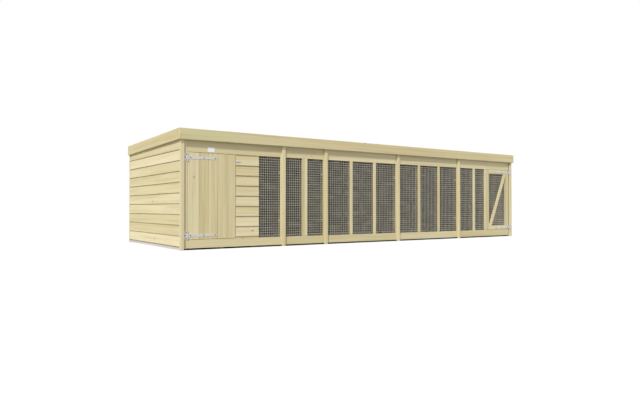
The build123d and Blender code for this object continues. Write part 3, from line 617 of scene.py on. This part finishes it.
def wires(low, high):
    """Two sets of straight tubes. Wire number k stands at the middle plus a whole or half number of pitches,
    and a tube's section is six points on an ellipse round that line, broader across the face."""
    tubes = []
    turn = np.arange(6) * math.pi / 3
    circle = np.stack([np.cos(turn), np.sin(turn)], -1)
    depth = (low[1] + high[1]) / 2
    for along, across in ((0, 2), (2, 0)):
        room = high[across] - low[across] - WIRE_FACE
        count = int(room / PITCH) + 1
        places = (low[across] + high[across]) / 2 + (np.arange(count) - (count - 1) / 2) * PITCH
        rings = np.empty((count, 2, 6, 3))
        level = np.full(count, depth)
        centre = np.stack([level, places] if along == 0 else [places, level], -1)
        radii = np.array([WIRE, WIRE_FACE] if along == 0 else [WIRE_FACE, WIRE]) / 2
        rings[..., 1:] = centre[:, None, None] + circle * radii
        rings[:, 0, :, 0], rings[:, 1, :, 0] = low[along], high[along]
        tubes.append(carried(rings, along))
    return tubes


for number in range(1, 6):
    sheet = f"mesh_sheet_{number}"
    low, high = (np.array(corner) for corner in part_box(sheet))
    timber_piece(f"wire_mesh_{number}", "root", [sheet], mesh_zinc, wires(low, high))
low, high = (np.array(corner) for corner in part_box("run_door_mesh"))
door_wires = wires(low, high)
timber_piece("wire_mesh_door", "run_door", ["run_door_mesh"], mesh_zinc, door_wires)

# %% [markdown]
# ## Screws
#
# Round-headed screws hold the hinges. A head is a dome with a cross sunk in its top. The dome is a grid of
# rings and directions, and the cross is sunk where a point is close to one of two lines through the middle.
# A boolean cut would give sharper edges than a pressed recess has, and far more faces.


# %% A domed head with a cross recess
HEAD_RISE = 0.0015
DOME_FALL = 0.85
RECESS = 0.0009


def screw_heads(node, body, name):
    """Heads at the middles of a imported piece's screws. Height is the rise times one minus the dome's fall
    times the squared share of the radius, less the recess, which fades out from the middle and away from two
    crossed lines."""
    low, high = timbers_in(node)
    ring_share = np.concatenate([np.linspace(0, 1, 9), [1.0]])
    turn = np.arange(24) * math.pi / 12
    radius = (high - low)[:, 0] / 2
    dome = HEAD_RISE * (1 - DOME_FALL * ring_share**2)
    dome[-1] = 0
    line = np.minimum(np.abs(np.cos(turn)), np.abs(np.sin(turn)))
    near_line = np.clip(1.6 - line[None] * ring_share[:, None] * 9, 0, 1)
    near_line = near_line * np.clip(2.4 - 4 * ring_share[:, None], 0, 1)
    height = np.clip(dome[:, None] - RECESS * near_line, 0, None)
    across = radius[:, None, None] * ring_share[None, :, None]
    seat = low[:, 1] + HEAD_RISE
    middle = (low + high) / 2
    points = np.stack(
        [
            middle[:, 0, None, None] + across * np.cos(turn),
            seat[:, None, None] - height[None] + 0 * across,
            middle[:, 2, None, None] + across * np.sin(turn),
        ],
        -1,
    )
    index = np.arange(points.size // 3).reshape(points.shape[:3])
    after = np.roll(index, -1, axis=2)
    sides = np.stack([index[:, :-1], index[:, 1:], after[:, 1:], after[:, :-1]], -1).reshape(-1, 4)
    faces = sides.tolist() + index[:, -1].tolist()
    mesh = bpy.data.meshes.new(name)
    mesh.from_pydata(points.reshape(-1, 3).tolist(), [], faces)
    mesh.materials.append(black_screw)
    piece = bpy.data.objects.new(name, mesh)
    bpy.context.scene.collection.objects.link(piece)
    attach(piece, body)
    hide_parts(node)
    print(name, len(low), "heads")


screw_heads("plate_screws", "root", "hinge_plate_screw_heads")
screw_heads("kennel_door_screws", "kennel_door", "kennel_strap_screw_heads")
screw_heads("run_door_screws", "run_door", "run_strap_screw_heads")

# %% [markdown]
# ## Finishes on the imported pieces that stay
#
# Frames, rafters, floor, partition and hardware have the right shape already, so they only get their
# finish. Each timber finish is chosen by the way its grain runs. The frames, rafters, floor and partition
# take the dark rough-sawn finish, whose darkness is partly painted shade for the inside of the building.

# %% Give each remaining piece its finish
GRAINS = {
    "x": ["sleeping_floor"],
    "y": ["rafters"],
    "z": ["left_wall_frame", "right_wall_frame", "partition_frame", "partition_boards"],
}
GRAINS["z"] += [f"{side}_frame_{number}" for side in ("front", "back") for number in range(1, 6)]
# The dark rough-sawn finish here is partly painted shade for the timbers inside the building
finishes = {name: sawn_and_shaded[axis] for axis, names in GRAINS.items() for name in names}
finishes.update({"kennel_door_ledges": planed_pine["x"], "run_door_frame": planed_pine["z"]})
finishes.update({"door_stops": planed_pine["z"], "ground_bearers": sleeper_pine, "roof_felt": felt})
finishes.update({"roof_boards": strands, "blank_plate": plate_plastic})
STEEL = ["kennel_hinge_plates", "run_hinge_plates", "kennel_door_straps", "run_door_straps", "hinge_pins"]
STEEL += ["button_screws", "panel_bolts", "kennel_button", "run_button_upper", "run_button_lower"]
finishes.update({name: hinge_zinc for name in STEEL})
for name, finish in finishes.items():
    nodes[name].data.materials.clear()
    nodes[name].data.materials.append(finish)
print(len(finishes), "packed pieces have a finish")

# %% [markdown]
# ## Floor, light and camera
#
# The picture is a plain studio one: pure white all round, a barely visible shadow on the ground, and soft
# light from the upper left, which leaves the end wall a little brighter than the long front. The camera
# stands low and close to the kennel end. The white shows only to rays that see it directly, so it casts no
# soft light on the timber.


# %% The floor
def seen_directly(tree):
    """One for camera, glossy and transmission rays, and zero for the rays that carry light."""
    rays = add(tree, "ShaderNodeLightPath")
    first_two = {0: rays.outputs["Is Camera Ray"], 1: rays.outputs["Is Glossy Ray"]}
    either = add(tree, "ShaderNodeMath", first_two, operation="MAXIMUM")
    all_three = {0: either.outputs[0], 1: rays.outputs["Is Transmission Ray"]}
    return add(tree, "ShaderNodeMath", all_three, operation="MAXIMUM").outputs[0]


floor_mesh = bpy.data.meshes.new("studio_floor")
reach = 400.0
corners = [(-reach, -reach, 0), (reach, -reach, 0), (reach, reach, 0), (-reach, reach, 0)]
floor_mesh.from_pydata(corners, [], [(0, 1, 2, 3)])
floor = bpy.data.objects.new("studio_floor", floor_mesh)
bpy.context.scene.collection.objects.link(floor)
floor_paint, tree, surface = new_finish("studio_white")
# Inside these half sizes the ground lies in the walls' shade: it shows no white, and its grey is painted
# darker there as painted shade under the building
WALL_REACH = (2.73, 0.898)
WHITE_SHARE = 0.86
WHITE_STRENGTH = 1.12
surface.inputs["Roughness"].default_value = 0.9
spot = add(tree, "ShaderNodeTexCoord").outputs["Object"]
from_middle = add(tree, "ShaderNodeVectorMath", {0: spot}, operation="ABSOLUTE")
sizes = add(tree, "ShaderNodeSeparateXYZ", {0: from_middle.outputs[0]})
beside = add(tree, "ShaderNodeMath", {0: sizes.outputs[0], 1: WALL_REACH[0]}, operation="GREATER_THAN")
before = add(tree, "ShaderNodeMath", {0: sizes.outputs[1], 1: WALL_REACH[1]}, operation="GREATER_THAN")
outside = add(tree, "ShaderNodeMath", {0: beside.outputs[0], 1: before.outputs[0]}, operation="MAXIMUM")
# The darker grey inside the walls is painted shade; the paler grey outside is the floor's own colour
ground_tones_painted_shade = {0: outside.outputs[0], 6: shade("#565654"), 7: shade("#9c9c9a")}
ground = add(tree, "ShaderNodeMix", ground_tones_painted_shade, data_type="RGBA")
tree.links.new(ground.outputs[2], surface.inputs["Base Color"])
white_part = add(tree, "ShaderNodeMath", {0: outside.outputs[0], 1: WHITE_SHARE}, operation="MULTIPLY")
shares = {0: seen_directly(tree), 1: white_part.outputs[0]}
share = add(tree, "ShaderNodeMath", shares, operation="MULTIPLY")
white = add(tree, "ShaderNodeEmission", {"Color": (1, 1, 1, 1), "Strength": WHITE_STRENGTH})
blend = add(tree, "ShaderNodeMixShader", {0: share.outputs[0], 1: surface.outputs[0], 2: white.outputs[0]})
tree.links.new(blend.outputs[0], tree.nodes["Material Output"].inputs["Surface"])
floor_mesh.materials.append(floor_paint)
print("floor reaches", reach, "m each way")

# %% The light
FILL = 0.64
world = bpy.data.worlds.new("studio")
bpy.context.scene.world = world
world.use_nodes = True
tree = world.node_tree
fill = tree.nodes["Background"]
fill.inputs["Color"].default_value = shade("#fbfbff")
fill.inputs["Strength"].default_value = FILL
backdrop = add(tree, "ShaderNodeBackground", {"Color": (1, 1, 1, 1), "Strength": 1.0})
sky = add(tree, "ShaderNodeMixShader", {0: seen_directly(tree), 1: fill.outputs[0], 2: backdrop.outputs[0]})
tree.links.new(sky.outputs[0], tree.nodes["World Output"].inputs["Surface"])


def soft_sun(name, towards, strength, spread):
    """A distant lamp whose light travels in the given direction, with a wide disc for soft shadows."""
    lamp = bpy.data.lights.new(name, "SUN")
    lamp.energy = strength
    lamp.angle = math.radians(spread)
    holder = bpy.data.objects.new(name, lamp)
    length = math.sqrt(sum(value * value for value in towards))
    travel = [value / length for value in towards]
    holder.rotation_euler = (math.acos(-travel[2]), 0, math.atan2(-travel[0], travel[1]))
    bpy.context.scene.collection.objects.link(holder)


soft_sun("key", (0.59, 0.40, -0.70), 2.5, 5)
print("world fill", FILL)

# %% The camera
YAW = math.radians(34.449)
PITCH_UP = math.radians(0.822)
camera_data = bpy.data.cameras.new("camera")
camera_data.sensor_width = 36.0
camera_data.lens = 31.68
camera_data.clip_end = 2000
camera = bpy.data.objects.new("camera", camera_data)
camera.location = (-4.8720, -6.6072, 0.4452)
camera.rotation_euler = (math.pi / 2 + PITCH_UP, 0, -YAW)
bpy.context.scene.collection.objects.link(camera)
bpy.context.scene.camera = camera
bpy.context.scene.view_settings.view_transform = "Standard"
print("camera at", list(camera.location))
